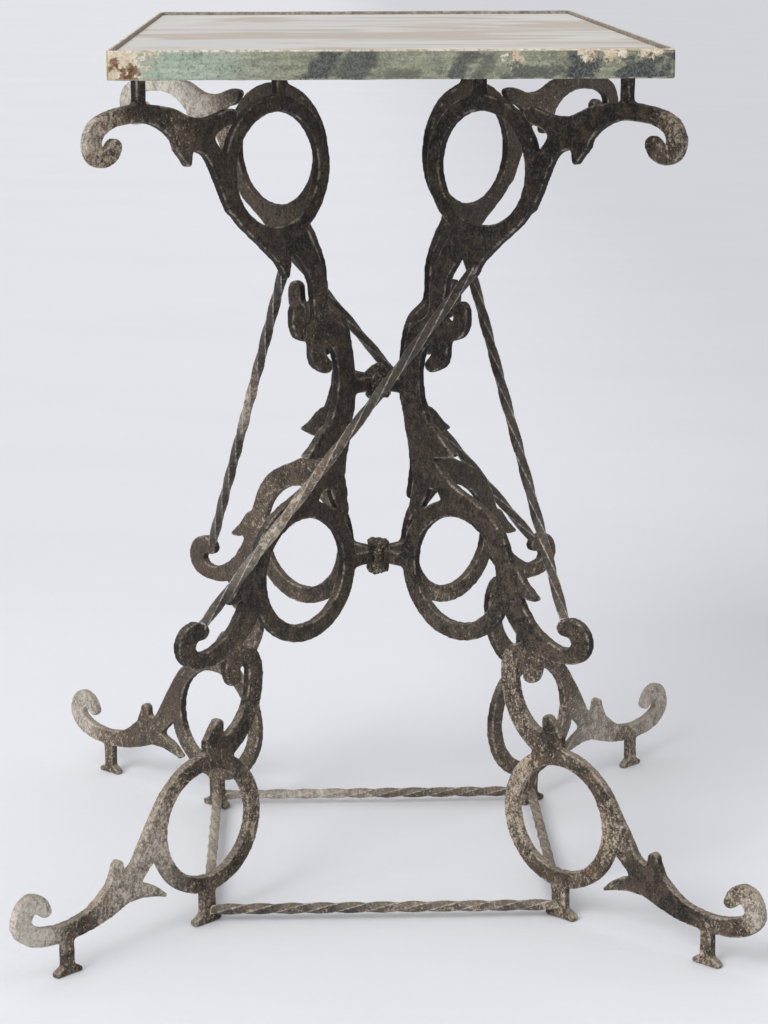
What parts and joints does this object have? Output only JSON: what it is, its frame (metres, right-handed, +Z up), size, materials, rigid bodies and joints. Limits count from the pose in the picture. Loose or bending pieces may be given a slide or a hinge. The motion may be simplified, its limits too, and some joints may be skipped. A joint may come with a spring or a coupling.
{
  "type": "bistro table",
  "caption": "Long framed stone top on four flat scrolled cast-iron legs set crosswise, tied by hubs, twisted diagonal braces and floor bars.",
  "frame": {"origin": "on the floor under the middle of the table, at the centre of the bounding box's bottom face", "axes": "+Z up, +Y to the back along the long side of the top, +X to the right along the short side"},
  "size_m": [0.602, 0.751, 0.74],
  "materials": {
    "cast_iron_brown_black": "rough brown-black cast iron, worn pale along the edges and on the feet",
    "wrought_iron_dark": "dark twisted iron bar, rubbed lighter on its ridges",
    "hub_iron_dark": "rough dark iron",
    "rim_flaking_green_paint": "flaking green paint over cream undercoat, rust and dark metal",
    "panel_pale_stone": "satin pale grey stone with soft brown bands",
    "underside_iron": "dull dark iron"
  },
  "bodies": {
    "root": {"top_panel": "panel_pale_stone", "rim_front": "rim_flaking_green_paint", "rim_back": "rim_flaking_green_paint", "rim_left": "rim_flaking_green_paint", "rim_right": "rim_flaking_green_paint", "cross_bar_front": "underside_iron", "cross_bar_back": "underside_iron", "leg_front_right": "cast_iron_brown_black", "leg_back_right": "cast_iron_brown_black", "leg_back_left": "cast_iron_brown_black", "leg_front_left": "cast_iron_brown_black", "upper_hub": "hub_iron_dark", "lower_hub": "hub_iron_dark", "brace_front_right": "wrought_iron_dark", "brace_back_right": "wrought_iron_dark", "brace_back_left": "wrought_iron_dark", "brace_front_left": "wrought_iron_dark", "floor_bar_front": "wrought_iron_dark", "floor_bar_back": "wrought_iron_dark", "floor_bar_left": "wrought_iron_dark", "floor_bar_right": "wrought_iron_dark"}
  },
  "joints": []
}
